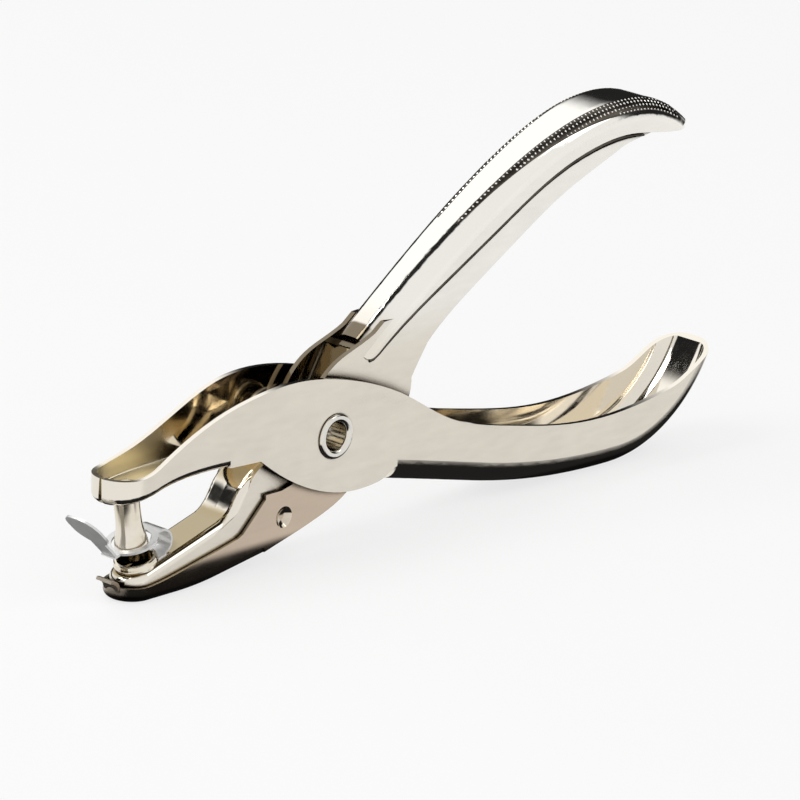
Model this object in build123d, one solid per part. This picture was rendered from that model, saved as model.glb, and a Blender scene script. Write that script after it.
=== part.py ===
from build123d import *
import math
import os

os.makedirs("parts", exist_ok=True)

# Frame: origin on the pivot axis at mid width, X towards the handle tails,
# Y across the width, Z up. The punch stands open, as it rests on a table.

# Driving dimensions, mm
BODY_WIDTH = 10.0          # outer lever over its two cheeks
HANDLE_LENGTH = 69.9       # rear of the cheeks to the tail of the lower handle
NOSE_X = -41.9             # front of the upper jaw
REST_Z = -17.5             # table level under tray nose and lower handle
CROWN_Z = 39.5             # highest point of the upper handle
SHEET = 0.8                # both levers
TRAY_SHEET = 0.5
LEAF = 0.35                # stripper spring steel
TRAY_GAP = 0.25            # outer cheek to tray ear
EAR_GAP = 0.10             # tray ear to inner cheek
RIVET_BORE = 4.2           # open bore through the tubular rivet
RIVET_OD = 5.0
RIVET_HEAD = 6.7
HEAD_PROUD = 0.5
GRIP_SPREAD = 0.5          # handles wider than the cheeks, each side
CREASE_STEP = 0.45         # crown proud of the wall below it, at the neck
RUN_FIT = 0.05             # radial play of a cheek on the rivet
PIN_DIA = 4.9
DIE_PLAY = 0.10            # radial, punch to die
CLOSE_ANGLE = 6.0          # squeeze travel, degrees
PIN_TILT = 10.3            # lean of the punch towards the nose, degrees
PIERCE = 2.0               # punch below the die rim when squeezed
DIE_X = -34.7
DIE_Z = -11.9
DIE_RISE = 1.2             # die rim above the deck
SLOT = 2.5                 # paper slot, die rim to stripper leaf
WIRE = 0.8                 # return spring
COIL_MEAN = 7.0
COIL_GAP = 0.45

# Half widths from the outside inwards
OUT_O = BODY_WIDTH / 2
OUT_I = OUT_O - SHEET
TRAY_O = OUT_I - TRAY_GAP
TRAY_I = TRAY_O - TRAY_SHEET
INN_O = TRAY_I - EAR_GAP
INN_I = INN_O - SHEET
GRIP_O = OUT_O + GRIP_SPREAD

NECK_X = 13.6
EAR_R = 6.6                # tray ears round the rivet
EAR_REACH = 10.8           # farthest point of an ear behind the pivot
STRETCH = HANDLE_LENGTH / 69.9
LIFT = CROWN_Z / 39.5


def hx(x):
    return x if x < NECK_X else NECK_X + (x - NECK_X) * STRETCH


def tail(points):
    return [(hx(x), z) for x, z in points]


def slab(sketch, half):
    return extrude(Plane.XZ * sketch, amount=half, both=True)


def outline(*curves):
    return make_face(Curve() + list(curves))


def shift(points, d):
    """Points moved sideways by d, to the right of the travel for d > 0."""
    out = []
    last = len(points) - 1
    for i, (x, z) in enumerate(points):
        ax, az = points[max(i - 1, 0)]
        bx, bz = points[min(i + 1, last)]
        run = math.hypot(bx - ax, bz - az)
        out.append((x + d * (bz - az) / run, z - d * (bx - ax) / run))
    return out


def plan(points, low, high):
    """Upright prism of a plan outline given for the +Y side, nose to rear."""
    round_nose = [(x, y) for x, y in reversed(points)] + [(x, -y) for x, y in points[1:]]
    hull = Spline(*round_nose, tangents=[(-1, 0), (1, 0)])
    rear = Line(round_nose[-1], round_nose[0])
    return extrude(Plane.XY.offset(low) * make_face(Curve() + [hull, rear]), amount=high - low)


def stadium(front, half, rear, low, high):
    """Upright prism with a half round nose and straight sides."""
    mid = front + half
    face = make_face(Curve() + [
        ThreePointArc((mid, half), (front, 0), (mid, -half)),
        Polyline((mid, -half), (rear, -half), (rear, half), (mid, half))])
    return extrude(Plane.XY.offset(low) * face, amount=high - low)


def spread(points):
    """Upright prism of half widths given nose to tail, straight before and behind them."""
    first = points[0]
    last = points[-1]
    far = last[0] + 60.0
    mirrored = [(x, -y) for x, y in points]
    face = make_face(Curve() + [
        Spline(*points, tangents=[(1, 0), (1, 0)]), Spline(*mirrored, tangents=[(1, 0), (1, 0)]),
        Polyline(last, (far, last[1]), (far, -last[1]), (last[0], -last[1])),
        Polyline(first, (-60.0, first[1]), (-60.0, -first[1]), (first[0], -first[1]))])
    return extrude(Plane.XY.offset(-40.0) * face, amount=120.0)


def round_end(x, corner):
    """Upright block that ends at x with rounded corners, a little over handle width."""
    half = GRIP_O + 0.05
    block = Pos(x - 75.0, 0, 10.0) * Box(150.0, 2 * half, 100.0)
    return fillet(edges_on(block, lambda p: p.X > x - 0.01 and abs(p.Y) > half - 0.01), corner)


def edges_on(part, test):
    """Edges whose quarter points all satisfy the test."""
    found = []
    for edge in part.edges():
        if all(test(edge.position_at(t)) for t in (0.1, 0.5, 0.9)):
            found.append(edge)
    return found


def long_edges(part, test):
    """Edges that run along the handle and satisfy the test."""
    return [e for e in edges_on(part, test) if abs(e.position_at(0).X - e.position_at(1).X) > 0.01]


def turn(x, z, degrees):
    """Side view point turned about the pivot, nose upwards for degrees > 0."""
    a = math.radians(degrees)
    return x * math.cos(a) + z * math.sin(a), z * math.cos(a) - x * math.sin(a)


def barrel(radius, half):
    return Rot(90, 0, 0) * Cylinder(radius, 2 * half)


# Outer lever: upper jaw, pivot cheeks and lower handle in one stamping
FLOOR_END = -20.5
CHEEK_X = -12.7
HANDLE_X = 13.25
jaw_slope = math.tan(math.radians(PIN_TILT))
JAW_Z = -2.9
FLOOR_Z = -0.7
BEND_X = -35.1
bend_z = JAW_Z + (BEND_X - NOSE_X) * jaw_slope

top_pts = tail([
    (-34.1, 2.3), (-23.4, 6.8), (-10.2, 9.7), (2.9, 7.8), (15.1, 2.9), (23.9, -2.2), (37.0, -6.0),
    (59.9, -8.8), (73.0, -7.2), (83.5, -2.4)])
top_end = (hx(89.0), 0.2)
cheek_pts = [
    (HANDLE_X, -7.3), (11.9, -7.8), (10.6, -8.5), (8.4, -9.0), (4.4, -9.15), (-4.1, -7.2), (-15.0, -0.7)]
outer_side = outline(
    Line((-50.0, 1.2), (-39.4, 1.2)),
    Spline((-39.4, 1.2), *top_pts, tangents=[(1, 0), (1, 0.48)]),
    Line(top_pts[-1], top_end),
    Polyline(top_end, (top_end[0], -30.0), (HANDLE_X, -30.0), cheek_pts[0]),
    Spline(*cheek_pts),
    Polyline(cheek_pts[-1], (FLOOR_END, -0.7), (FLOOR_END, -9.0), (-50.0, -9.0), (-50.0, 1.2)))

BELLY_X = hx(60.9)
BELLY_FALL = math.radians(13.0)    # slope of the handle floor behind the cheeks
TAIL_RISE = math.radians(64.0)
HANDLE_ROUND = 3.5         # corners under the lower handle
belly_r = 130.0 * STRETCH
tail_r = 24.6 * STRETCH


def belly_foot(grow):
    """Where the sloping floor of the lower handle runs into the belly arc."""
    r = belly_r - grow
    return BELLY_X - r * math.sin(BELLY_FALL), REST_Z + grow + r * (1 - math.cos(BELLY_FALL))


def belly_block(grow, corner):
    """Lower handle as a filled trough; grow moves its floor and walls inwards."""
    r1 = belly_r - grow
    r2 = tail_r - grow
    base = REST_Z + grow
    low = (BELLY_X, base)
    p1 = belly_foot(grow)
    m1 = (BELLY_X - r1 * math.sin(BELLY_FALL / 2), base + r1 * (1 - math.cos(BELLY_FALL / 2)))
    m2 = (BELLY_X + r2 * math.sin(TAIL_RISE / 2), base + r2 * (1 - math.cos(TAIL_RISE / 2)))
    p2 = (BELLY_X + r2 * math.sin(TAIL_RISE), base + r2 * (1 - math.cos(TAIL_RISE)))
    front = HANDLE_X - (1.0 if grow else 0.0)
    p0 = (front, p1[1] + (p1[0] - front) * math.tan(BELLY_FALL))
    p3 = (p2[0] + (12.0 - p2[1]) / math.tan(TAIL_RISE), 12.0)
    body = slab(outline(
        Line(p0, p1), ThreePointArc(p1, m1, low), ThreePointArc(low, m2, p2), Line(p2, p3),
        Polyline(p3, (front, 12.0), p0)), 9.0)
    body &= spread([(HANDLE_X, OUT_O - grow), (hx(50.0), GRIP_O - grow)])
    return fillet(long_edges(body, lambda p: p.Z < 11.9), corner)


def jaw_plan(grow, rear):
    return [
        (NOSE_X + grow, 0.0), (NOSE_X + 1.3 + grow * 0.7, 3.2 - grow * 0.7),
        (NOSE_X + 4.5, OUT_O - 0.4 - grow), (-33.1, OUT_O - 0.75 - grow),
        (-27.3, OUT_O - 1.1 - grow), (-19.5, OUT_O - 0.55 - grow), (rear, OUT_O - grow)]


def jaw_block(grow, corner):
    body = plan(jaw_plan(grow, CHEEK_X), -9.0, 13.0)
    ahead = (-50.0, JAW_Z + (-50.0 - NOSE_X) * jaw_slope + grow)
    bend = (BEND_X, bend_z + grow)
    end = (FLOOR_END, FLOOR_Z + grow)
    floor = slab(outline(
        Line(ahead, bend),
        Spline(bend, (-27.3, FLOOR_Z - 0.15 + grow), end, tangents=[(1, jaw_slope), (1, 0)]),
        Polyline(end, (FLOOR_END, 14.0), (-50.0, 14.0), ahead)), 9.0)
    front = body & floor
    rim = edges_on(front, lambda p: p.Z < 0.1 + grow and p.X < FLOOR_END - 0.05 and abs(p.Y) > 0.05)
    return fillet(rim, corner), body


jaw_out, jaw_prism = jaw_block(0.0, 1.1)
jaw_in, jaw_prism_in = jaw_block(SHEET, 0.4)
mid_gap = Pos((FLOOR_END + CHEEK_X) / 2, 0, 0) * Box(CHEEK_X - FLOOR_END, 20, 40)
cheek_box = Pos((CHEEK_X + HANDLE_X) / 2, 0, 0) * Box(HANDLE_X - CHEEK_X, 2 * OUT_O, 30)
cheek_gap = Pos((CHEEK_X + HANDLE_X) / 2, 0, 0) * Box(HANDLE_X - CHEEK_X, 2 * OUT_I, 60)
shell = jaw_out + (jaw_prism & mid_gap) + cheek_box + belly_block(0.0, HANDLE_ROUND)
shell = (shell & slab(outer_side, 9.0)) & round_end(hx(83.5), 4.6)
hollow = jaw_in + (jaw_prism_in & mid_gap) + cheek_gap + belly_block(SHEET, HANDLE_ROUND - SHEET)
outer_lever = shell - hollow
outer_lever -= barrel(RIVET_OD / 2, 20.0)
seam = Pos(NOSE_X, 0, 0) * (Plane.YZ * Polygon(
    (-0.10, 3.0), (0.10, 3.0), (0.55, -6.0), (-0.55, -6.0), align=None))
outer_lever -= extrude(seam, amount=1.6, both=True)

# Punch and die: the die comes onto the punch axis when the levers are squeezed
DIE_TILT = PIN_TILT + CLOSE_ANGLE
die_x_shut, die_z_shut = turn(DIE_X, DIE_Z, CLOSE_ANGLE)
pa = math.radians(PIN_TILT)
pin_foot = (die_x_shut + PIERCE * math.sin(pa), die_z_shut - PIERCE * math.cos(pa))
floor_gap = JAW_Z + (pin_foot[0] - NOSE_X) * jaw_slope - pin_foot[1]
PIN_SEAT = floor_gap * math.cos(pa)
PIN_R = PIN_DIA / 2
pin_axis = Location((pin_foot[0], 0, pin_foot[1]), (0, -PIN_TILT, 0))
pin_side = outline(
    Polyline((0, 0.35), (PIN_R - 0.6, 0.35), (PIN_R - 0.1, 0), (PIN_R, 0.1), (PIN_R, 0.7)),
    Spline((PIN_R, 0.7), (PIN_R * 0.83, 2.6), (PIN_R * 0.77, 4.6), (PIN_R * 0.80, PIN_SEAT - 0.6),
           tangents=[(-0.15, 1), (0.08, 1)]),
    Polyline((PIN_R * 0.80, PIN_SEAT - 0.6), (PIN_R * 0.86, PIN_SEAT), (PIN_R * 0.6, PIN_SEAT),
             (PIN_R * 0.6, PIN_SEAT + SHEET), (PIN_R * 0.86, PIN_SEAT + SHEET),
             (PIN_R * 0.80, PIN_SEAT + SHEET + 0.45), (PIN_R * 0.45, PIN_SEAT + SHEET + 0.75),
             (0, PIN_SEAT + SHEET + 0.75), (0, 0.35)))
punch_pin = pin_axis * revolve(Plane.XZ * pin_side, Axis.Z)
pin_hole = pin_axis * (Pos(0, 0, PIN_SEAT + SHEET / 2) * Cylinder(PIN_R * 0.6, 3 * SHEET))
outer_lever -= pin_hole

# Tubular rivet, flanges rolled over the outer cheeks
bore_r = RIVET_BORE / 2
tube_r = RIVET_OD / 2
head_r = RIVET_HEAD / 2
rivet_half = outline(
    Line((bore_r, 0), (bore_r, OUT_O - 0.1)),
    ThreePointArc((bore_r, OUT_O - 0.1), (bore_r + 0.12, OUT_O + 0.3), (bore_r + 0.5, OUT_O + HEAD_PROUD)),
    Line((bore_r + 0.5, OUT_O + HEAD_PROUD), (head_r - 0.4, OUT_O + HEAD_PROUD)),
    ThreePointArc((head_r - 0.4, OUT_O + HEAD_PROUD), (head_r - 0.08, OUT_O + 0.36), (head_r, OUT_O)),
    Polyline((head_r, OUT_O), (tube_r, OUT_O), (tube_r, 0), (bore_r, 0)))
half_rivet = Rot(-90, 0, 0) * revolve(Plane.XZ * rivet_half, Axis.Z)
pivot_rivet = half_rivet + mirror(half_rivet, Plane.XZ)

# Inner lever: lower jaw, inner cheeks and upper handle in one stamping
da = math.radians(DIE_TILT)
deck_dx = math.sin(da) * DIE_RISE
deck_foot = (DIE_X + deck_dx, DIE_Z - math.cos(da) * DIE_RISE)


def deck(x):
    return deck_foot[1] + (x - deck_foot[0]) * math.tan(da)


JAW_FRONT = DIE_X - INN_O - 0.25
DECK_X = -20.9             # rear end of the straight deck
DECK_END = -14.2


def deck_pts(drop):
    pts = [(DECK_X, deck(DECK_X)), (-19.1, deck(DECK_X) + 0.95), (-16.9, -5.0), (DECK_END, -2.7)]
    return shift(pts, drop)


def low_jaw(grow, corner):
    body = stadium(JAW_FRONT + grow, INN_O - grow, DECK_END, -25.0, 5.0)
    curve = deck_pts(grow)
    start = (-50.0, deck(-50.0) - grow / math.cos(da))
    body &= slab(outline(
        Line(start, curve[0]), Spline(*curve, tangents=[(1, math.tan(da)), (1, 0.8)]),
        Polyline(curve[-1], (DECK_END + 2.0, curve[-1][1] + 1.6), (DECK_END + 2.0, -26.0),
                 (-50.0, -26.0), start)), 9.0)
    rim = edges_on(body, lambda p: p.X < DECK_END - 0.05 and p.Z > deck(p.X) - grow * 1.3 - 0.1)
    return fillet(rim, corner)


# Side outline of the cheeks and walls below the deck and the crown
floor_tan = math.tan(math.radians(8.8))
FLOOR_X = -25.6            # flat sole ahead, rising floor behind


def tray_floor(x):
    return REST_Z + max(0.0, x - FLOOR_X) * floor_tan


WALL_LIFT = TRAY_SHEET + 0.75
crown_pts = [(x, z * LIFT) for x, z in tail([
    (5.8, 11.0), (24.4, 24.6), (42.9, 35.1), (58.4, 39.4), (68.2, 38.2), (75.2, 33.8)])]
crease_pts = [(x, z * LIFT) for x, z in tail([
    (10.2, 10.7), (21.4, 17.8), (34.1, 25.0), (43.8, 30.4), (53.6, 33.9), (60.4, 34.6), (66.0, 33.9),
    (76.0, 33.6)])]
under_pts = [(x, z * LIFT) for x, z in tail([
    (17.9, 6.2), (21.4, 10.8), (29.2, 16.4), (39.0, 22.5), (48.7, 28.1), (58.4, 32.2), (66.0, 33.9)])]
TIP_X = hx(75.0)
back_pts = [
    (17.2, 5.0), (16.7, 1.8), (13.6, -2.4), (8.8, -6.0), (2.4, -8.6), (-4.9, -11.4),
    (-11.7, tray_floor(-11.7) + WALL_LIFT)]
front_pts = [
    (-16.1, deck(DECK_X) + 1.6), (-12.7, -2.0), (-7.8, -0.2), (-4.5, 3.2), (-2.1, 7.2), (1.2, 10.1),
    (4.9, 11.6), (9.2, 13.2)]
neck_top = (11.1, 14.6)
wall_side = outline(
    Spline(*front_pts),
    Polyline(front_pts[-1], neck_top, (under_pts[0][0] + 6.0, under_pts[0][1] + 9.0), under_pts[0]),
    Line(under_pts[0], back_pts[0]),
    Spline(*back_pts),
    Polyline(back_pts[-1], (FLOOR_X, REST_Z + WALL_LIFT), (FLOOR_X - 0.7, deck(FLOOR_X - 0.7) - 2.0),
             front_pts[0]))

# Share of the spread from neck to grip, along the upper handle
GRIP_RUN = [
    (EAR_REACH + 0.4, 0.0), (hx(28.0), 0.16), (hx(43.0), 0.46), (hx(57.0), 0.89), (hx(66.0), 1.0)]


def grip_plan(neck, grip):
    return spread([(x, neck + (grip - neck) * share) for x, share in GRIP_RUN])


def wall_plan(grow):
    """Cheeks run straight to behind the pivot, then spread with the crown."""
    return grip_plan(INN_O - grow, GRIP_O - CREASE_STEP - 0.2 - grow)


CROWN_ROUND = 3.0          # corners along the crown
CROWN_HEAD = (4.9, 3.85)
CROWN_TAIL = (5.5, -5.4)


def crown_block(grow, corner):
    """Upper handle crown as a filled arch; grow moves the arch inwards."""
    pts = shift(crown_pts, grow)
    first = (pts[0][0] - CROWN_HEAD[0], pts[0][1] - CROWN_HEAD[1])
    last = (pts[-1][0] + CROWN_TAIL[0], pts[-1][1] + CROWN_TAIL[1])
    arch = slab(outline(
        Line(first, pts[0]), Spline(*pts, tangents=[CROWN_HEAD, CROWN_TAIL]), Line(pts[-1], last),
        Polyline(last, (last[0], -5.0), (first[0], -5.0), first)), 9.0)
    arch &= grip_plan(INN_O + CREASE_STEP - grow, GRIP_O - grow)
    return fillet(long_edges(arch, lambda p: p.Z > -4.9), corner)


CROWN_FRONT = 6.7          # foremost point of the crown's side
crown_web = 9.6            # front edge of the crown's top
crease_end = crease_pts[-1]
sky = 50.0 * LIFT
far_x = hx(95.0)
crown_side = outline(
    Spline((crown_web, 14.8), (crown_web - 0.3, 12.8), (CROWN_FRONT + 1.3, 11.6), (CROWN_FRONT, 10.6),
           (CROWN_FRONT + 0.6, 9.85), (CROWN_FRONT + 1.9, 9.75), *crease_pts),
    Polyline(crease_end, (far_x, crease_end[1]), (far_x, sky), (crown_web, sky), (crown_web, 14.8)))
crease_in = shift(crease_pts, -SHEET)
room_end = crease_in[-1]
crown_room = outline(
    Spline(*crease_in),
    Polyline(room_end, (far_x, room_end[1]), (far_x, sky), (0.0, sky), (0.0, crease_in[0][1] - 3.0),
             crease_in[0]))
under_side = outline(
    Spline(*under_pts, tangents=[(1, 2.6), (1, 0.15)]),
    Polyline(under_pts[-1], (far_x, under_pts[-1][1]), (far_x, sky), (7.5, sky), (7.5, 10.5),
             (under_pts[0][0] - 3.0, under_pts[0][1]), under_pts[0]))

outer_arch = crown_block(0.0, CROWN_ROUND)
inner_arch = crown_block(SHEET, CROWN_ROUND - SHEET)
bulge = outer_arch & slab(crown_side, 9.0)
bulge_room = inner_arch & slab(crown_room, 9.0)
skirt = (outer_arch & slab(under_side, 9.0)) & wall_plan(0.0)
skirt_room = inner_arch & wall_plan(SHEET)
cheeks = slab(wall_side, 9.0) & wall_plan(0.0)
upper = ((bulge + skirt) & round_end(TIP_X, 4.2)) - bulge_room - skirt_room
plates = cheeks - wall_plan(SHEET)
jaw_skin = low_jaw(0.0, 1.15) - low_jaw(SHEET, 0.4)
jaw_trim = outline(
    Polyline((-50.0, REST_Z + WALL_LIFT), (FLOOR_X, REST_Z + WALL_LIFT), back_pts[-1], (DECK_END, 20.0),
             (-50.0, 20.0), (-50.0, REST_Z + WALL_LIFT)))
jaw_skin &= slab(jaw_trim, 9.0)
inner_lever = upper + plates + jaw_skin
inner_lever -= barrel(RIVET_OD / 2 + RUN_FIT, 20.0)

# Snap track for the tray dimples, an arc about the pivot open at the wall foot
DIMPLE_X = -8.9
DIMPLE_Z = -10.6
DIMPLE_R = 1.6
DIMPLE_DEEP = 0.65
dimple_reach = math.hypot(DIMPLE_X, DIMPLE_Z)
dimple_turn = math.degrees(math.atan2(DIMPLE_Z, DIMPLE_X))
ball_r = (DIMPLE_R ** 2 + DIMPLE_DEEP ** 2) / (2 * DIMPLE_DEEP)
ball_y = TRAY_O + ball_r - DIMPLE_DEEP
bump_r = ball_r + TRAY_SHEET - 0.05
track_r = math.sqrt(bump_r ** 2 - (ball_y - INN_O) ** 2) + 0.3
track = SlotArc(CenterArc((0, 0), dimple_reach, dimple_turn, 24.0), 2 * track_r)
inner_lever -= slab(track, 9.0)

# Die bush set in the nose of the lower jaw
die_axis = Location((DIE_X, 0, DIE_Z), (0, -DIE_TILT, 0))
die_r = PIN_R + DIE_PLAY
die_out = die_r + 0.55
die_base = min(die_out + 0.45, INN_O - 0.1)
shank_r = die_r + 0.35
die_side = outline(
    Polyline((die_r, -0.15), (die_r + 0.15, 0.0), (die_out - 0.15, 0.0), (die_out, -0.12)),
    Spline((die_out, -0.12), (die_out + 0.08, -0.5), (die_base, LEAF - DIE_RISE),
           tangents=[(0, -1), (1, -0.55)]),
    Polyline((die_base, LEAF - DIE_RISE), (shank_r, LEAF - DIE_RISE), (shank_r, -DIE_RISE - SHEET - 0.3),
             (die_r + 0.1, -DIE_RISE - SHEET - 0.3), (die_r + 0.1, -1.0), (die_r, -1.0), (die_r, -0.15)))
die_bush = die_axis * revolve(Plane.XZ * die_side, Axis.Z)
inner_lever -= die_axis * (Pos(0, 0, -DIE_RISE) * Cylinder(shank_r, 3.0))

# Paper stripper: a hairpin leaf, clamped under the die and ringed round the punch
leaf_top = SLOT + LEAF
bend_out = (leaf_top + DIE_RISE) / 2
bend_u = 3.8
ring_r = min(PIN_R + 1.45, INN_O + 0.6)
ring_hole = PIN_R + 0.5
ring = Circle(ring_r) + Pos(bend_u / 2, 0) * Rectangle(bend_u, 4.0) + Pos(-2.2, 0) * Rectangle(4.4, 2.8)
ring = extrude(Pos(0, 0, SLOT) * (ring - Circle(ring_hole)), amount=LEAF)
bend_mid = (bend_u, leaf_top - bend_out)
hoop = Plane.XZ * (Pos(*bend_mid) * (Circle(bend_out) - Circle(bend_out - LEAF)))
hoop = extrude(hoop, amount=2.0, both=True) & (Pos(bend_u + 5.0, 0, 0) * Box(10.0, 10.0, 20.0))
foot_half = min(INN_O - 1.0, 2.6)
foot = Pos(bend_u / 2 - 0.4, 0) * Rectangle(bend_u + 0.8, 2 * foot_half)
foot = extrude(Pos(0, 0, -DIE_RISE) * (foot - Circle(shank_r)), amount=LEAF)
FLAG_RISE = 45.0           # flag above the level, degrees
FLAG_ROOT = -4.4
STEM = 3.5
FLAG = 6.5
flag = Pos(-STEM / 2, 0) * Rectangle(STEM, 2.8)
flag += Pos(-STEM - FLAG / 2 + 0.1, 0) * RectangleRounded(FLAG, 6.4, 2.6)
flag = extrude(flag, amount=LEAF)
flag = Location((FLAG_ROOT, 0, SLOT), (0, FLAG_RISE + DIE_TILT, 0)) * flag
knuckle = Pos(FLAG_ROOT, 0, SLOT) * (Rot(90, 0, 0) * Cylinder(LEAF, 2.8))
knuckle &= Pos(FLAG_ROOT, 0, SLOT + 1.0) * Box(2.0, 4.0, 2.0)
paper_stripper = die_axis * (ring + hoop + foot + flag + knuckle)

# Chip tray: trough under the lower jaw, swung on the pivot, snapped by its dimples
TRAY_FRONT = JAW_FRONT - TRAY_SHEET - 0.5
TRAY_END = -11.7


def tray_block(grow, corner):
    body = stadium(TRAY_FRONT + grow, TRAY_O - grow, TRAY_END, -25.0, 0.0)
    ahead = (-50.0, REST_Z + grow)
    flat_end = (FLOOR_X - 4.0, REST_Z + grow)
    slope_start = (FLOOR_X + 4.0, tray_floor(FLOOR_X + 4.0) + grow)
    slope_end = (TRAY_END + 2.0, tray_floor(TRAY_END + 2.0) + grow)
    body &= slab(outline(
        Line(ahead, flat_end), Spline(flat_end, slope_start, tangents=[(1, 0), (1, floor_tan)]),
        Line(slope_start, slope_end),
        Polyline(slope_end, (TRAY_END + 2.0, 1.0), (-50.0, 1.0), ahead)), 9.0)
    rim = edges_on(body, lambda p: p.X < TRAY_END - 0.05 and p.Z < tray_floor(p.X) + grow + 0.4)
    return fillet(rim, corner)


trough = tray_block(0.0, 1.2) - tray_block(TRAY_SHEET, 0.7)
trough_side = outline(
    Polyline((-50.0, -26.0), (-50.0, -15.3), (-37.5, -15.3)),
    Spline((-37.5, -15.3), (-33.0, -14.95), (-25.7, -13.55), (-18.0, -11.9), tangents=[(1, 0), (1, 0.25)]),
    Polyline((-18.0, -11.9), (-17.0, -11.4), (-12.5, -7.0), (TRAY_END, -6.5), (TRAY_END, -26.0),
             (-50.0, -26.0)))
trough &= slab(trough_side, 9.0)
ear_low = [
    (TRAY_END - 1.0, tray_floor(TRAY_END - 1.0) + 0.4), (-5.5, -13.2), (-1.5, -12.0), (2.5, -10.4),
    (5.7, -7.9), (7.2, -4.6)]
ear_side = outline(
    Spline(*ear_low),
    Polyline(ear_low[-1], (4.0, 0.0), (-4.0, 0.0), (-7.4, -6.0), (-9.6, -6.5), (TRAY_END - 1.0, -6.5),
             ear_low[0]))
ear = ear_side + Circle(EAR_R)
ears = slab(ear, TRAY_O) - (Box(60.0, 2 * TRAY_I, 60.0))
chip_tray = trough + ears
for side in (-1, 1):
    spot = Pos(DIMPLE_X, side * ball_y, DIMPLE_Z)
    cap = (spot * Sphere(bump_r)) & (Pos(DIMPLE_X, side * (TRAY_O - 1.5), DIMPLE_Z) * Box(8.0, 3.0, 8.0))
    chip_tray = chip_tray + cap - spot * Sphere(ball_r)
lip = outline(
    Spline((TRAY_FRONT + 0.1, -15.9), (TRAY_FRONT - 0.25, -15.0), (TRAY_FRONT - 1.5, -14.3)),
    Line((TRAY_FRONT - 1.5, -14.3), (TRAY_FRONT - 1.3, -13.85)),
    Spline((TRAY_FRONT - 1.3, -13.85), (TRAY_FRONT + 0.1, -14.6), (TRAY_FRONT + 0.45, -15.9)),
    Line((TRAY_FRONT + 0.45, -15.9), (TRAY_FRONT + 0.1, -15.9)))
chip_tray += slab(lip, 1.5)
chip_tray -= barrel(RIVET_OD / 2 + RUN_FIT, 20.0)

# Return spring: torsion coil round the rivet, one leg under each handle
LEG_UP = 60.0              # rise of the leg under the crown, degrees
LEG_DOWN = 38.0            # fall of the leg onto the lower handle, degrees
coil_r = COIL_MEAN / 2
pitch = WIRE + COIL_GAP
coil_room = 2 * INN_I - WIRE - 0.5
first_turn = LEG_UP - 90.0
part_turn = (first_turn - (90.0 - LEG_DOWN)) / 360.0
turns = part_turn + math.floor(coil_room / pitch - part_turn)
span = turns * pitch


def leg_seat(corner, half):
    """Depth of a leg's axis below the channel web, where the wire lies in the channel's corner."""
    aside = max(span / 2 - (half - corner), 0.0)
    return corner - math.sqrt((corner - WIRE / 2 - 0.1) ** 2 - aside ** 2)


def coil_at(share):
    """Point and travel direction on the coil, share 0 to 1."""
    a = math.radians(first_turn) - share * turns * 2 * math.pi
    point = Vector(coil_r * math.cos(a), span * (share - 0.5), coil_r * math.sin(a))
    travel = Vector(coil_r * math.sin(a), pitch / (2 * math.pi), -coil_r * math.cos(a))
    return point, travel.normalized()


def biarc(p0, t0, p1, t1):
    """Two arcs that meet smoothly between two points with given directions."""
    v = p1 - p0
    t = t0 + t1
    k = 2 * (1 - t0.dot(t1))
    d = (math.sqrt(v.dot(t) ** 2 + k * v.dot(v)) - v.dot(t)) / k
    mid = (p0 + t0 * d + p1 - t1 * d) * 0.5
    return [TangentArc(p0, mid, tangent=t0), TangentArc(mid, p1, tangent=p1 - t1 * d - mid)]


quarters = round(turns * 4)
stations = [coil_at(i / quarters) for i in range(quarters + 1)]
for end in (0, -1):
    point, travel = stations[end]
    stations[end] = (point, Vector(travel.X, 0, travel.Z).normalized())
start, start_dir = stations[0]
stop, stop_dir = stations[-1]
crown_dir = Vector(CROWN_HEAD[0], 0, CROWN_HEAD[1]).normalized()
crown_down = Vector(crown_dir.Z, 0, -crown_dir.X)
crown_seat = leg_seat(CROWN_ROUND - SHEET, INN_O + CREASE_STEP - SHEET)
crown_under = Vector(crown_pts[0][0], 0, crown_pts[0][1]) + crown_down * (SHEET + crown_seat)
floor_dir = Vector(math.cos(BELLY_FALL), 0, -math.sin(BELLY_FALL))
floor_up = Vector(-floor_dir.Z, 0, floor_dir.X)
floor_x, floor_z = belly_foot(SHEET)
floor_top = Vector(floor_x, 0, floor_z) + floor_up * leg_seat(HANDLE_ROUND - SHEET, OUT_I)
leg_a = (crown_under - start).dot(crown_down) / (-start_dir).dot(crown_down)
leg_b = (floor_top - stop).dot(floor_up) / stop_dir.dot(floor_up)
tip_a = start - start_dir * leg_a
tip_b = stop + stop_dir * leg_b
route = [Line(tip_a, start)]
for (p0, t0), (p1, t1) in zip(stations, stations[1:]):
    route += biarc(p0, t0, p1, t1)
route.append(Line(stop, tip_b))
wire_path = Wire([edge for curve in route for edge in curve.edges()])
wire_ring = Plane(origin=tip_a, z_dir=start_dir) * Circle(WIRE / 2)
return_spring = sweep(wire_ring, path=wire_path)

# Least gap of the wire to itself, on points half a turn or more apart
coil_points = [coil_at(i / 240)[0] for i in range(241)]
apart = math.ceil(120 / turns)
gaps = [(p - q).length - WIRE for i, p in enumerate(coil_points) for q in coil_points[i + apart:]]
for i in range(41):
    on_a = start + (tip_a - start) * (i / 40)
    gaps += [(on_a - (stop + (tip_b - stop) * (j / 40))).length - WIRE for j in range(41)]
print("return_spring least gap", round(min(gaps), 2), "turns", round(turns, 2))

for name, node in (
        ("outer_lever", outer_lever), ("inner_lever", inner_lever), ("punch_pin", punch_pin),
        ("die_bush", die_bush), ("paper_stripper", paper_stripper), ("chip_tray", chip_tray),
        ("pivot_rivet", pivot_rivet), ("return_spring", return_spring)):
    solids = node.solids()
    print(name, len(solids), [round(s.volume, 1) for s in solids], node.bounding_box())
    export_step(node, "parts/" + name + ".step")
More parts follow.
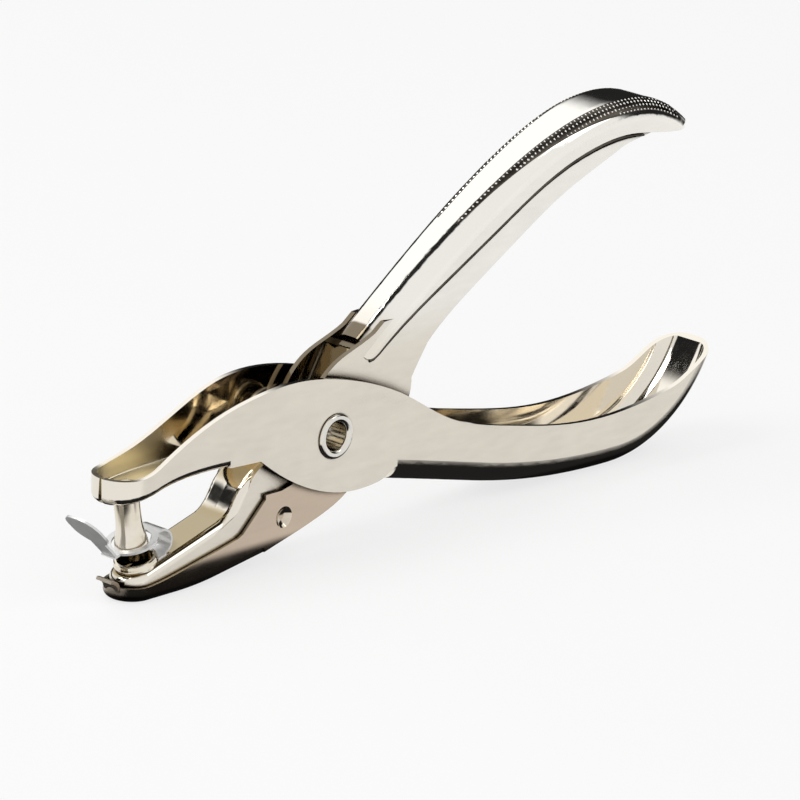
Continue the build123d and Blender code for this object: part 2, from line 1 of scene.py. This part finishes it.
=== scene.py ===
import bpy
import bmesh
import math
from mathutils import Matrix, Vector
from mathutils.bvhtree import BVHTree


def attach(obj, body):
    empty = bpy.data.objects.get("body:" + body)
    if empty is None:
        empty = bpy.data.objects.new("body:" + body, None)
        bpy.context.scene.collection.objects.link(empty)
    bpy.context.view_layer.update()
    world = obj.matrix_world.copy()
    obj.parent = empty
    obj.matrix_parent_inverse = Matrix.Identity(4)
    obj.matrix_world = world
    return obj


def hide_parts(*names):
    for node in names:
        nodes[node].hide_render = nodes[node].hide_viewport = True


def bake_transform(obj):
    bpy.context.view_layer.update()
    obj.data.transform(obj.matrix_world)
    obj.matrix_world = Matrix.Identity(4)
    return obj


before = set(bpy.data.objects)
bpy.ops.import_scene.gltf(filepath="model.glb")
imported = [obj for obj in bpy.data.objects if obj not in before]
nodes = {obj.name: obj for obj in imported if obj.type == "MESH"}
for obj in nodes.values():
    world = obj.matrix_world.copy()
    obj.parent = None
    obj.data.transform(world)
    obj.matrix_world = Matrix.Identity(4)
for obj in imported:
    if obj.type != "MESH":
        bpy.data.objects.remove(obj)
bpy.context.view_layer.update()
scene = bpy.context.scene
scene.view_settings.view_transform = "Standard"

MM = 0.001


# Shader helpers

def tree(name):
    mat = bpy.data.materials.new(name)
    mat.use_nodes = True
    nt = mat.node_tree
    return mat, nt, nt.nodes["Principled BSDF"]


def add(nt, kind, **inputs):
    node = nt.nodes.new(kind)
    for key, value in inputs.items():
        node.inputs[key].default_value = value
    return node


def feed(nt, value, socket):
    """Link a socket, or set a plain value."""
    if hasattr(value, "is_linked"):
        nt.links.new(value, socket)
    else:
        socket.default_value = value


def math_node(nt, op, a, b=0.0, clamp=False):
    node = nt.nodes.new("ShaderNodeMath")
    node.operation = op
    node.use_clamp = clamp
    feed(nt, a, node.inputs[0])
    feed(nt, b, node.inputs[1])
    return node.outputs[0]


def both(nt, *values):
    """Product of masks and factors."""
    result = values[0]
    for value in values[1:]:
        result = math_node(nt, "MULTIPLY", result, value)
    return result


def rest(nt, value):
    return math_node(nt, "SUBTRACT", 1.0, value)


def centred(nt, value, swing):
    """A noise moved to lie about zero, over a range of swing."""
    return both(nt, math_node(nt, "SUBTRACT", value, 0.5), swing)


def step(nt, value, low, high):
    """Smooth rise from 0 to 1 between low and high."""
    node = nt.nodes.new("ShaderNodeMapRange")
    node.interpolation_type = "SMOOTHSTEP"
    nt.links.new(value, node.inputs["Value"])
    node.inputs["From Min"].default_value = low
    node.inputs["From Max"].default_value = high
    return node.outputs["Result"]


def past(nt, length, low, high):
    """As step, with its limits in mm."""
    return step(nt, length, low * MM, high * MM)


def upto(nt, length, low, high):
    """Smooth fall from 1 to 0, with its limits in mm."""
    return rest(nt, past(nt, length, low, high))


def split(nt, socket):
    node = nt.nodes.new("ShaderNodeSeparateXYZ")
    nt.links.new(socket, node.inputs["Vector"])
    return node.outputs


def blend(nt, fac, first, second):
    """Mix of two colours; each is a plain colour or a socket."""
    node = nt.nodes.new("ShaderNodeMix")
    node.data_type = "RGBA"
    nt.links.new(fac, node.inputs["Factor"])
    for slot, value in ((6, first), (7, second)):
        feed(nt, (*value, 1.0) if isinstance(value, tuple) else value, node.inputs[slot])
    return node.outputs[2]


def ramp(nt, fac, stops):
    node = nt.nodes.new("ShaderNodeValToRGB")
    node.color_ramp.elements.remove(node.color_ramp.elements[-1])
    for i, (pos, col) in enumerate(stops):
        el = node.color_ramp.elements[0] if i == 0 else node.color_ramp.elements.new(pos)
        el.position = pos
        el.color = (*col, 1.0) if isinstance(col, tuple) else (col, col, col, 1.0)
    nt.links.new(fac, node.inputs["Fac"])
    return node.outputs["Color"]


def noise(nt, scale, detail=3.0, stretch=(1, 1, 1), turn=(0, 0, 0)):
    co = nt.nodes.new("ShaderNodeTexCoord")
    mp = nt.nodes.new("ShaderNodeMapping")
    mp.inputs["Scale"].default_value = stretch
    mp.inputs["Rotation"].default_value = turn
    nt.links.new(co.outputs["Object"], mp.inputs["Vector"])
    tex = add(nt, "ShaderNodeTexNoise", Scale=scale, Detail=detail, Roughness=0.55)
    nt.links.new(mp.outputs["Vector"], tex.inputs["Vector"])
    return tex.outputs["Fac"]


def bump(nt, shader, height, strength, distance, below=None):
    node = add(nt, "ShaderNodeBump", Strength=strength, Distance=distance)
    nt.links.new(height, node.inputs["Height"])
    if below:
        nt.links.new(below, node.inputs["Normal"])
    nt.links.new(node.outputs["Normal"], shader.inputs["Normal"])


# Plated sheet: colours of its regions, all painted light or shade

SEAM_SHADE = (0.10, 0.08, 0.06)          # painted shade in seams and crevices, where ambient occlusion is low
GOLD_INTERREFLECTION = (0.72, 0.63, 0.47)           # inner faces: painted golden inter-reflection
DECK_SHADE = (0.42, 0.35, 0.22)           # floor of the lower jaw: painted shade
NECK_SHADE = (0.20, 0.165, 0.115)         # between the walls under the crown: painted shade
MOUTH_REFLECTION = (0.99, 0.90, 0.68)          # front of the upper jaw, inside: painted bright reflection
CROWN_SHEEN = (0.93, 0.905, 0.85)         # raised back of the upper handle: painted sheen

# Limits of the regions. Each pair is the band over which a mask rises (FROM, OVER, OUT) or falls
# (TO, BELOW, HALF): FROM and TO along X, OVER and BELOW along Z, OUT and HALF off the middle plane, in mm.
FLAT = (0.955, 0.990)               # share of a normal along Y
TURNED = (0.25, 0.60)               # the same, for a face that is turned to one side
FLOOR_UP = (0.60, 0.85)             # share of a normal along Z
FLOOR_BELOW, FLOOR_HALF = (-1.0, 3.0), (3.8, 4.2)
DECK_TO = (-14.0, -8.0)
MOUTH_TO, MOUTH_OVER = (-29.0, -24.0), (-2.0, 0.0)
CROWN_FROM, CROWN_OVER = (8.0, 14.0), (8.0, 17.0)
WARM_FROM = (30.0, 50.0)            # the painted golden inter-reflection of inner faces ends here
THROAT_FROM, THROAT_HALF = (-6.0, -3.0), (3.6, 4.0)
NECK_TO, NECK_OVER = (9.4, 9.8), (4.0, 6.0)
EDGE_TO, EDGE_OVER, EDGE_OUT = (14.0, 16.0), (6.0, 8.0), (2.2, 2.4)
EDGE_ACROSS = (0.20, 0.40)          # share of a normal along Y
LIP_TO, LEAN_FROM = (-39.2, -38.0), (-41.2, -40.5)

MOUTH_SATIN, LIP_SATIN = 0.30, 0.34     # added roughness in the mouth and on the lip of a drawn trough
SEAM_CLEAR = (0.60, 0.82)               # openness over which the painted seam shade ends
SEAM_SAMPLES = 8
SEAM_SPARED = 0.75                      # inner faces stay at least this clear of the painted seam shade
FOOT_TOP = -13.0 * MM                   # a drawn wall leans in below this height


def sheet_zones(nt):
    """Masks from 0 to 1 for the regions of a stamping, from a point's place and normal."""
    facing = split(nt, nt.nodes.new("ShaderNodeNewGeometry").outputs["Normal"])
    place = split(nt, nt.nodes.new("ShaderNodeTexCoord").outputs["Object"])
    x, z = place["X"], place["Z"]
    across = math_node(nt, "ABSOLUTE", facing["Y"])
    aside = math_node(nt, "ABSOLUTE", place["Y"])
    outward = both(nt, facing["Y"], math_node(nt, "SIGN", place["Y"]))

    trough = both(nt, step(nt, facing["Z"], *FLOOR_UP), upto(nt, z, *FLOOR_BELOW),
                  upto(nt, aside, *FLOOR_HALF))
    inner = math_node(nt, "MAXIMUM", step(nt, both(nt, outward, -1.0), *TURNED), trough)

    # Painted shade for the neck's inner faces, and for the edges of its walls up to the crown
    behind_jaws = past(nt, x, *THROAT_FROM)
    neck = both(nt, behind_jaws, upto(nt, x, *NECK_TO), past(nt, z, *NECK_OVER),
                rest(nt, step(nt, outward, *TURNED)))
    edges = both(nt, behind_jaws, upto(nt, x, *EDGE_TO), past(nt, z, *EDGE_OVER),
                 past(nt, aside, *EDGE_OUT), rest(nt, step(nt, across, *EDGE_ACROSS)))
    return {
        "x": x, "z": z,
        "flat": step(nt, across, *FLAT),
        "inner": inner,
        "deck_shade": both(nt, trough, upto(nt, x, *DECK_TO)),
        "mouth": both(nt, upto(nt, x, *MOUTH_TO), past(nt, z, *MOUTH_OVER), inner),
        "high": both(nt, past(nt, z, *CROWN_OVER), past(nt, x, *CROWN_FROM)),
        "throat_shade": both(nt, math_node(nt, "MAXIMUM", neck, edges), upto(nt, aside, *THROAT_HALF)),
    }


def leaning(nt, zone, lean):
    """Normal of a wall that tips in below FOOT_TOP, left plain ahead of LEAN_FROM."""
    deep = math_node(nt, "MAXIMUM", math_node(nt, "SUBTRACT", FOOT_TOP, zone["z"]), 0.0)
    tip = add(nt, "ShaderNodeBump", Strength=1.0, Distance=1.0)
    nt.links.new(both(nt, both(nt, deep, deep), -lean / 2), tip.inputs["Height"])
    plain = nt.nodes.new("ShaderNodeNewGeometry").outputs["Normal"]
    pick = nt.nodes.new("ShaderNodeMix")
    pick.data_type = "VECTOR"
    nt.links.new(past(nt, zone["x"], *LEAN_FROM), pick.inputs["Factor"])
    nt.links.new(plain, pick.inputs[4])
    nt.links.new(tip.outputs["Normal"], pick.inputs[5])
    return pick.outputs[1]


def plate(name, pale, warm, gloss, satin, lean=0.0, reach=3.0):
    """Plated rolled sheet: warm on drawn curves, satin on flat sides, with painted light and shade: a
    golden inter-reflection inside, shade on the lower jaw's floor, in the neck and in seams, a bright
    reflection in the mouth, sheen on the crown.

    lean is how much a drawn wall's normal tips in, per metre below FOOT_TOP; reach is how far in mm
    a the painted seam shade spreads.
    """
    mat, nt, bsdf = tree(name)
    bsdf.inputs["Metallic"].default_value = 1.0
    zone = sheet_zones(nt)

    cloud = centred(nt, noise(nt, scale=60.0, detail=4.0), swing=0.25)
    tone = math_node(nt, "ADD", zone["flat"], cloud, clamp=True)
    colour = ramp(nt, tone, [(0.0, warm), (1.0, pale)])
    # Painted reflection: inner faces take a golden inter-reflection, which gives way to the warm tone past
    # WARM_FROM
    inner_reflection = blend(nt, past(nt, zone["x"], *WARM_FROM), GOLD_INTERREFLECTION, warm)
    # Painted light and shade over the plating: reflection inside and in the mouth, shade on the floor and
    # in the throat, sheen on the crown
    for mask, paint in (("high", CROWN_SHEEN), ("inner", inner_reflection), ("deck_shade", DECK_SHADE), ("mouth", MOUTH_REFLECTION),
                        ("throat_shade", NECK_SHADE)):
        colour = blend(nt, zone[mask], colour, paint)
    # Painted shade in seams: the colour darkens to near-black where ambient occlusion within reach is low;
    # inner faces are spared
    seam = add(nt, "ShaderNodeAmbientOcclusion", Distance=reach * MM)
    seam.samples = SEAM_SAMPLES
    clear = step(nt, seam.outputs["AO"], *SEAM_CLEAR)
    clear = math_node(nt, "MAXIMUM", clear, both(nt, zone["inner"], SEAM_SPARED))
    nt.links.new(blend(nt, clear, SEAM_SHADE, colour), bsdf.inputs["Base Color"])

    grain = noise(nt, scale=900.0, detail=2.0, stretch=(0.25, 1.0, 1.0))
    smudge = noise(nt, scale=140.0)
    rough = both(nt, zone["flat"], rest(nt, zone["inner"]), satin - gloss)
    for share in (gloss, both(nt, zone["mouth"], MOUTH_SATIN), centred(nt, smudge, swing=0.10)):
        rough = math_node(nt, "ADD", rough, share)
    normal = None
    if lean:
        lip = upto(nt, zone["x"], *LIP_TO)
        rough = math_node(nt, "ADD", rough, both(nt, lip, LIP_SATIN))
        normal = leaning(nt, zone, lean)
    rough = math_node(nt, "ADD", rough, centred(nt, grain, swing=0.12), clamp=True)
    nt.links.new(rough, bsdf.inputs["Roughness"])
    bump(nt, bsdf, grain, strength=0.03, distance=0.04 * MM, below=normal)
    return mat


def turned(name, light, warm, rough):
    """Turned steel with fine tool rings round its axis."""
    mat, nt, bsdf = tree(name)
    bsdf.inputs["Metallic"].default_value = 1.0
    tone = noise(nt, scale=220.0)
    nt.links.new(ramp(nt, tone, [(0.35, warm), (0.65, light)]), bsdf.inputs["Base Color"])
    rings = noise(nt, scale=1400.0, detail=2.0, stretch=(0.05, 0.05, 1.0), turn=(0, math.radians(10), 0))
    smear = math_node(nt, "ADD", both(nt, rings, 0.14), rough, clamp=True)
    nt.links.new(smear, bsdf.inputs["Roughness"])
    bump(nt, bsdf, rings, strength=0.10, distance=0.03 * MM)
    return mat


def leaf(name, light, dark, rough, metal):
    """Rolled spring steel, matt, with rolling marks along its length."""
    mat, nt, bsdf = tree(name)
    bsdf.inputs["Metallic"].default_value = metal
    marks = noise(nt, scale=700.0, stretch=(0.2, 1.0, 1.0))
    blot = noise(nt, scale=160.0, detail=4.0)
    mixed = math_node(nt, "ADD", both(nt, marks, 0.35), both(nt, blot, 0.65))
    nt.links.new(ramp(nt, mixed, [(0.36, dark), (0.62, light)]), bsdf.inputs["Base Color"])
    wear = math_node(nt, "ADD", centred(nt, blot, swing=0.2), rough, clamp=True)
    nt.links.new(wear, bsdf.inputs["Roughness"])
    bump(nt, bsdf, marks, strength=0.12, distance=0.04 * MM)
    return mat


nickel = plate("nickel_sheet", pale=(0.81, 0.755, 0.66), warm=(0.84, 0.79, 0.70), gloss=0.07, satin=0.24)
tray_nickel = plate("nickel_tray", pale=(0.57, 0.465, 0.365), warm=(0.70, 0.62, 0.51),
                    gloss=0.08, satin=0.16, lean=85.0)
rivet_metal = plate("rivet_plate", pale=(0.78, 0.76, 0.71), warm=(0.78, 0.74, 0.66),
                    gloss=0.12, satin=0.20, reach=0.8)
tool = turned("turned_steel", light=(0.84, 0.79, 0.70), warm=(0.78, 0.70, 0.56), rough=0.08)
# Near-black, for painted shade: the bead in the crease and the bed under the knurl points
shade = turned("fold_shade", light=(0.13, 0.115, 0.095), warm=(0.07, 0.06, 0.05), rough=0.22)
stripper = leaf("spring_leaf", light=(0.78, 0.78, 0.77), dark=(0.68, 0.68, 0.67), rough=0.32, metal=0.55)
wire = leaf("spring_wire", light=(0.52, 0.51, 0.49), dark=(0.40, 0.39, 0.37), rough=0.30, metal=1.0)

for node, mat in (("outer_lever", nickel), ("inner_lever", nickel), ("chip_tray", tray_nickel),
                  ("punch_pin", tool), ("die_bush", tool), ("pivot_rivet", rivet_metal),
                  ("paper_stripper", stripper), ("return_spring", wire)):
    obj = nodes[node]
    obj.data.materials.clear()
    obj.data.materials.append(mat)

# The return spring: an unattached copy named torsion_coil stands in for it, and the original is hidden
coil = nodes["return_spring"].copy()
coil.data = nodes["return_spring"].data.copy()
coil.name = "torsion_coil"
coil.parent = None
for key in list(coil.keys()):
    del coil[key]
scene.collection.objects.link(coil)
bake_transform(coil)
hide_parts("return_spring")


# Upper handle: places on its surface are found by rays, in mm

skin = BVHTree.FromObject(nodes["inner_lever"], bpy.context.evaluated_depsgraph_get())
FAR_SIDE, FAR_TOP = -20.0, 60.0     # rays start from here, clear of the handle


def probe(start, direction):
    """Point and normal where a ray meets the upper handle, or nothing."""
    hit, normal, _, _ = skin.ray_cast(Vector(start) * MM, Vector(direction))
    return (hit / MM, normal) if hit else (None, None)


def half_width(x, z):
    hit, _ = probe((x, FAR_SIDE, z), (0, 1, 0))
    return -hit.y if hit else 0.0


def piece(name, bm, mat, smooth=True):
    """Piece that rides on the upper handle: the knurl points, and the near-black bead and bed of painted
    shade.
    """
    bmesh.ops.recalc_face_normals(bm, faces=bm.faces)
    mesh = bpy.data.meshes.new(name)
    bm.to_mesh(mesh)
    bm.free()
    for poly in mesh.polygons:
        poly.use_smooth = smooth
    obj = bpy.data.objects.new(name, mesh)
    obj.data.materials.append(mat)
    scene.collection.objects.link(obj)
    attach(obj, "inner")


def skin_rings(bm, rings):
    """Faces between neighbouring closed rings of points."""
    for r0, r1 in zip(rings, rings[1:]):
        for k in range(len(r0)):
            bm.faces.new((r0[k - 1], r1[k - 1], r1[k], r0[k]))


# Painted shade in the fold under the crown: a near-black bead along the crease on both sides

CREASE = ((7.4, 9.05), (10.2, 10.7), (21.4, 17.8), (34.1, 25.0),        # X and Z along the fold
          (43.8, 30.4), (53.6, 33.9), (60.4, 34.6), (66.0, 33.9))
SEARCH, SEARCH_STEP = 1.5, 0.05     # the wall's step is looked for this far below and above CREASE
STEP_LEAST, STEP_MOST = 0.2, 1.5    # how far the wall steps out there
FACE_OVER = 0.6                     # the crown's face is measured this far above its edge
BEAD, BEAD_SIDES = 0.65, 12         # radius, and sides of a ring
BEAD_DROP, BEAD_SINK = 0.38, 0.02   # below the crown's edge, and behind its face
BEAD_FROM, BEAD_PITCH, BEAD_RINGS = 8.2, 0.8, 70
FRONT_SHARE, FRONT_RUN = 0.5, 8.0   # share of the radius at an end, and the run that adds a whole radius
TAIL_SHARE, TAIL_RUN = 0.3, 10.0


def crease_height(x):
    """Height at which the wall steps out to the crown, searched about the crease line."""
    for (x0, z0), (x1, z1) in zip(CREASE, CREASE[1:]):
        if x0 <= x <= x1:
            guess = z0 + (z1 - z0) * (x - x0) / (x1 - x0)
    best, jump = guess, 0.0
    for i in range(round(2 * SEARCH / SEARCH_STEP)):
        z = guess - SEARCH + i * SEARCH_STEP
        rise = half_width(x, z + SEARCH_STEP) - half_width(x, z)
        if STEP_LEAST < rise < STEP_MOST and rise > jump:
            best, jump = z + SEARCH_STEP / 2, rise
    return best


bm = bmesh.new()
stations = [BEAD_FROM + i * BEAD_PITCH for i in range(BEAD_RINGS)]
turns = [math.tau * k / BEAD_SIDES for k in range(BEAD_SIDES)]
for side in (-1, 1):
    rings = []
    for x in stations:
        z = crease_height(x)
        r = BEAD * min(1.0, FRONT_SHARE + (x - stations[0]) / FRONT_RUN,
                       TAIL_SHARE + (stations[-1] - x) / TAIL_RUN)
        y = half_width(x, z + FACE_OVER) - r - BEAD_SINK
        ring = [(x, side * (y + r * math.cos(a)), z - BEAD_DROP + r * math.sin(a)) for a in turns]
        rings.append([bm.verts.new(Vector(p) * MM) for p in ring])
    skin_rings(bm, rings)
    bm.faces.new(rings[0])
    bm.faces.new(rings[-1])
piece("crease_shade_bead", bm, shade)

# Rows of small raised points on the crown's corners, and the near-black bed of painted shade that they
# stand on

PITCH = 0.75
ROUND = 3.0                         # radius of the crown's corner
UNDER_ROUND = 0.2                   # the wall's width is taken this far under the corner
ROWS = ((28.0, 71.0), (38.0, 58.0), (48.0, 45.0), (58.0, 32.0))     # first X, degrees on the corner
LAST = 72.0
POINT_LONG, POINT_WIDE = 0.30, 0.28     # half diagonals
POINT_TALL, POINT_SINK = 0.11, 0.03
BED_LEAD = 1.0                      # ahead of the first point
BED_EDGE = 77.0                     # upper edge, in degrees on the corner
BED_START, BED_SPARE = 1.0, 6.0     # degrees below the first row ahead of it, and below the rows after that
BED_TALL, BED_SINK = 0.015, 0.05
BED_STRIPS, BED_COLUMNS = 60, 9


def corner(x, degrees, side):
    """Point and normal on the crown's corner; 0 degrees is the side, 90 the top."""
    top, _ = probe((x, 0.0, FAR_TOP), (0, 0, -1))
    mid = Vector((x, ROUND - half_width(x, top.z - ROUND - UNDER_ROUND), top.z - ROUND))
    a = math.radians(degrees)
    out = Vector((0, -math.cos(a), math.sin(a)))
    spot, normal = probe(mid + out * 3 * ROUND, -out)
    spot.y *= -side
    return spot, Vector((normal.x, normal.y * -side, normal.z))


def lowest(x):
    """Degrees on the corner down to which the bed reaches."""
    low = ROWS[0][1] - BED_START
    for (x0, a0), (x1, a1) in zip(ROWS, ROWS[1:]):
        if x > x0:
            low = max(a1, a0 + (a1 - a0) * (x - x0) / (x1 - x0)) - BED_SPARE
    return low


points = bmesh.new()
bed = bmesh.new()
bed_from = ROWS[0][0] - BED_LEAD
for side in (-1, 1):
    for row, (first, degrees) in enumerate(ROWS):
        for i in range(int((LAST - first) / PITCH)):
            spot, normal = corner(first + (i + 0.5 * (row % 2)) * PITCH, degrees, side)
            run = Vector((1, 0, 0))
            run = (run - normal * run.dot(normal)).normalized()
            cross = normal.cross(run) * POINT_WIDE
            run *= POINT_LONG
            foot = spot - normal * POINT_SINK
            ring = [points.verts.new((foot + way) * MM) for way in (run, cross, -run, -cross)]
            peak = points.verts.new((spot + normal * POINT_TALL) * MM)
            for k in range(4):
                points.faces.new((ring[k - 1], ring[k], peak))
            points.faces.new(ring[::-1])
    strips = []
    for i in range(BED_STRIPS):
        x = bed_from + i * (LAST - bed_from) / (BED_STRIPS - 1)
        strip = []
        for k in range(BED_COLUMNS):
            spot, normal = corner(x, BED_EDGE + (lowest(x) - BED_EDGE) * k / (BED_COLUMNS - 1), side)
            strip.append(bed.verts.new((spot + normal * BED_TALL) * MM))
            strip.insert(0, bed.verts.new((spot - normal * BED_SINK) * MM))
        strips.append(strip)
    skin_rings(bed, strips)
    bed.faces.new(strips[0])
    bed.faces.new(strips[-1][::-1])
piece("grip_points", points, nickel, smooth=False)
piece("grip_shade_bed", bed, shade)


# Table: pale, and nearly white to the camera

FLOOR_Z = -17.5 * MM
FLOOR_DROP = 0.05 * MM              # under the part, so that they don't share a plane
TABLE_RADIUS, TABLE_SIDES = 1.6, 96
TABLE_GLOW = 0.75                   # share of plain white in what the camera sees
mat, nt, bsdf = tree("pale_table")
bsdf.inputs["Roughness"].default_value = 0.6
bsdf.inputs["Specular IOR Level"].default_value = 0.2
table_tone = noise(nt, scale=12.0, detail=2.0)
nt.links.new(ramp(nt, table_tone, [(0.3, 0.88), (0.7, 0.90)]), bsdf.inputs["Base Color"])
glow = nt.nodes.new("ShaderNodeEmission")
seen = nt.nodes.new("ShaderNodeMixShader")
rays = nt.nodes.new("ShaderNodeLightPath")
nt.links.new(both(nt, rays.outputs["Is Camera Ray"], TABLE_GLOW), seen.inputs["Fac"])
nt.links.new(bsdf.outputs["BSDF"], seen.inputs[1])
nt.links.new(glow.outputs["Emission"], seen.inputs[2])
nt.links.new(seen.outputs["Shader"], nt.nodes["Material Output"].inputs["Surface"])
bm = bmesh.new()
bmesh.ops.create_circle(bm, cap_ends=True, segments=TABLE_SIDES, radius=TABLE_RADIUS)
bmesh.ops.translate(bm, verts=bm.verts, vec=(0, 0, FLOOR_Z - FLOOR_DROP))
mesh = bpy.data.meshes.new("table")
bm.to_mesh(mesh)
bm.free()
table = bpy.data.objects.new("table", mesh)
table.data.materials.append(mat)
scene.collection.objects.link(table)
table.visible_glossy = False


# Studio that lights the part and that the metal mirrors: a white box over the back, a low and a high
# card in front, and dark strips between them. To the camera the world is plain white.

BACK_BOX, LOW_CARD, HIGH_CARD, DIM = 1.4, 1.15, 1.1, 0.02       # strengths
DEPTH_WAY = (0.612, 0.789, -0.05)
LEVEL_WAY = (0.731, 0.683, 0.0)
# Bands of a ray's direction over which a card begins or ends, along DEPTH_WAY, LEVEL_WAY, X (TAIL)
# or Z (OVER)
BOX_DEPTH, BOX_OVER, BOX_TAIL = (0.16, 0.26), (0.22, 0.32), (0.52, 0.68)
LOW_OVER, HORIZON_OVER = (-0.46, -0.34), (0.0, 0.12)
DIP, DIP_TAIL = 0.16, (0.25, 0.50)
FLAG_LEVEL, FLAG_OVER = (0.84, 0.92), (-0.18, -0.10)
HIGH_DEPTH = (-0.24, -0.14)

world = bpy.data.worlds.new("studio")
scene.world = world
world.use_nodes = True
wt = world.node_tree
wt.nodes.clear()
ray = wt.nodes.new("ShaderNodeTexCoord").outputs["Generated"]
aim = split(wt, ray)
tail, height = aim["X"], aim["Z"]


def along(direction):
    node = wt.nodes.new("ShaderNodeVectorMath")
    node.operation = "DOT_PRODUCT"
    wt.links.new(ray, node.inputs[0])
    node.inputs[1].default_value = direction
    return node.outputs["Value"]


depth, level = along(DEPTH_WAY), along(LEVEL_WAY)
above = step(wt, height, *HORIZON_OVER)
back_box = both(wt, step(wt, depth, *BOX_DEPTH), step(wt, height, *BOX_OVER),
                rest(wt, step(wt, tail, *BOX_TAIL)), BACK_BOX)
# The low card reaches further down away from the handles' tails, and a dark flag cuts it along LEVEL_WAY
dip = math_node(wt, "ADD", height, both(wt, rest(wt, step(wt, tail, *DIP_TAIL)), DIP))
flag = both(wt, step(wt, level, *FLAG_LEVEL), step(wt, height, *FLAG_OVER))
low_card = both(wt, rest(wt, flag), step(wt, dip, *LOW_OVER), rest(wt, above), LOW_CARD)
high_card = both(wt, rest(wt, step(wt, depth, *HIGH_DEPTH)), above, HIGH_CARD)
sky = math_node(wt, "MAXIMUM", back_box, math_node(wt, "ADD", low_card, high_card))
dome = wt.nodes.new("ShaderNodeBackground")
wt.links.new(math_node(wt, "ADD", sky, DIM), dome.inputs["Strength"])
white = wt.nodes.new("ShaderNodeBackground")
white.inputs["Color"].default_value = (1, 1, 1, 1)
rays = wt.nodes.new("ShaderNodeLightPath")
pick = wt.nodes.new("ShaderNodeMixShader")
wt.links.new(rays.outputs["Is Camera Ray"], pick.inputs["Fac"])
wt.links.new(dome.outputs["Background"], pick.inputs[1])
wt.links.new(white.outputs["Background"], pick.inputs[2])
out = wt.nodes.new("ShaderNodeOutputWorld")
wt.links.new(pick.outputs["Shader"], out.inputs["Surface"])

LAMP_SIZE = 0.5
LAMP_AIM = Vector((0.02, 0, 0))


def lamp(name, place, power):
    data = bpy.data.lights.new(name, "AREA")
    data.shape = "RECTANGLE"
    data.size = data.size_y = LAMP_SIZE
    data.energy = power
    obj = bpy.data.objects.new(name, data)
    obj.location = place
    obj.rotation_euler = (LAMP_AIM - Vector(place)).to_track_quat("-Z", "Y").to_euler()
    scene.collection.objects.link(obj)


lamp("key", place=(-0.45, 0.30, 0.75), power=3.2)
lamp("fill", place=(0.5, -0.5, 0.6), power=0.8)


# Camera, fitted to the photograph: the frame's origin lies at ORIGIN in a picture of FRAME pixels

YAW, RISE, ROLL = math.radians(46.93), math.radians(17.74), math.radians(-2.388)
AWAY = 981.2 * MM
FOCAL = 6823.0                      # in pixels
FRAME = 800.0
ORIGIN = (310.56, 427.71)
SENSOR = 36.0
CLIP_START = 0.01
back = Vector((-math.sin(YAW) * math.cos(RISE), -math.cos(YAW) * math.cos(RISE), math.sin(RISE)))
level_right = Vector((math.cos(YAW), -math.sin(YAW), 0.0))
level_up = back.cross(level_right)
right = level_right * math.cos(ROLL) - level_up * math.sin(ROLL)
up = level_right * math.sin(ROLL) + level_up * math.cos(ROLL)
off_x = (ORIGIN[0] - FRAME / 2) * AWAY / FOCAL
off_y = (FRAME / 2 - ORIGIN[1]) * AWAY / FOCAL
cam = bpy.data.cameras.new("camera")
cam.sensor_width = SENSOR
cam.lens = FOCAL / FRAME * SENSOR
cam.clip_start = CLIP_START
view = bpy.data.objects.new("camera", cam)
pose = Matrix((right, up, back)).transposed().to_4x4()
pose.translation = back * AWAY - right * off_x - up * off_y
view.matrix_world = pose
scene.collection.objects.link(view)
scene.camera = view
